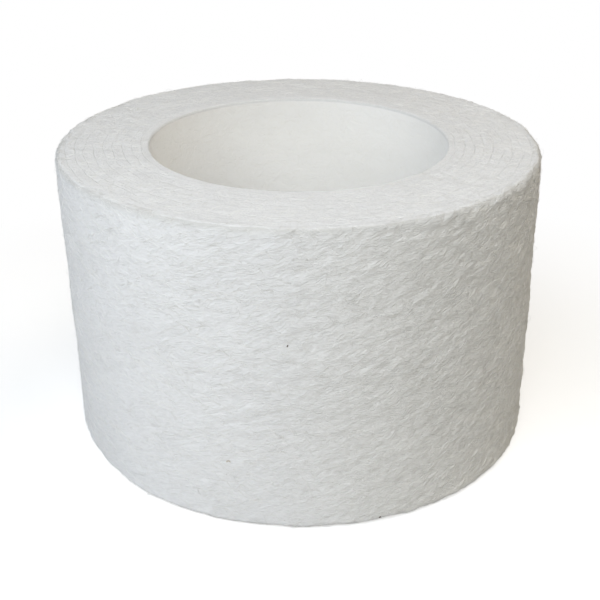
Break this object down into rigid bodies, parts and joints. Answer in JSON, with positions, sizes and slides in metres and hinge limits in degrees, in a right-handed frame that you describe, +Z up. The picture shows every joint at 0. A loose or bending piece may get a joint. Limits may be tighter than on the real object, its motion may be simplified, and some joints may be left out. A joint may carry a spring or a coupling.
{
  "type": "felt polishing wheel",
  "caption": "Thick ring of white non-woven felt laid up in concentric plies, with a large plain bore, for polishing stones on a drum or mandrel.",
  "frame": {"origin": "centre of the end that the wheel stands on, on the wheel's axis", "axes": "+Z up along the wheel's axis; the wheel is the same all round, so X and Y are any two directions across it"},
  "size_m": [0.1016, 0.1016, 0.0635],
  "materials": {
    "bore_felt": "matte",
    "ply_felt": "matte",
    "face_felt": "matte"
  },
  "bodies": {
    "root": {"bore_skin": "bore_felt", "felt_ply_1": "ply_felt", "felt_ply_2": "ply_felt", "felt_ply_3": "ply_felt", "felt_ply_4": "ply_felt", "felt_ply_5": "ply_felt", "felt_ply_6": "ply_felt", "felt_ply_7": "ply_felt", "felt_ply_8": "ply_felt", "outer_skin": "face_felt"}
  },
  "joints": []
}
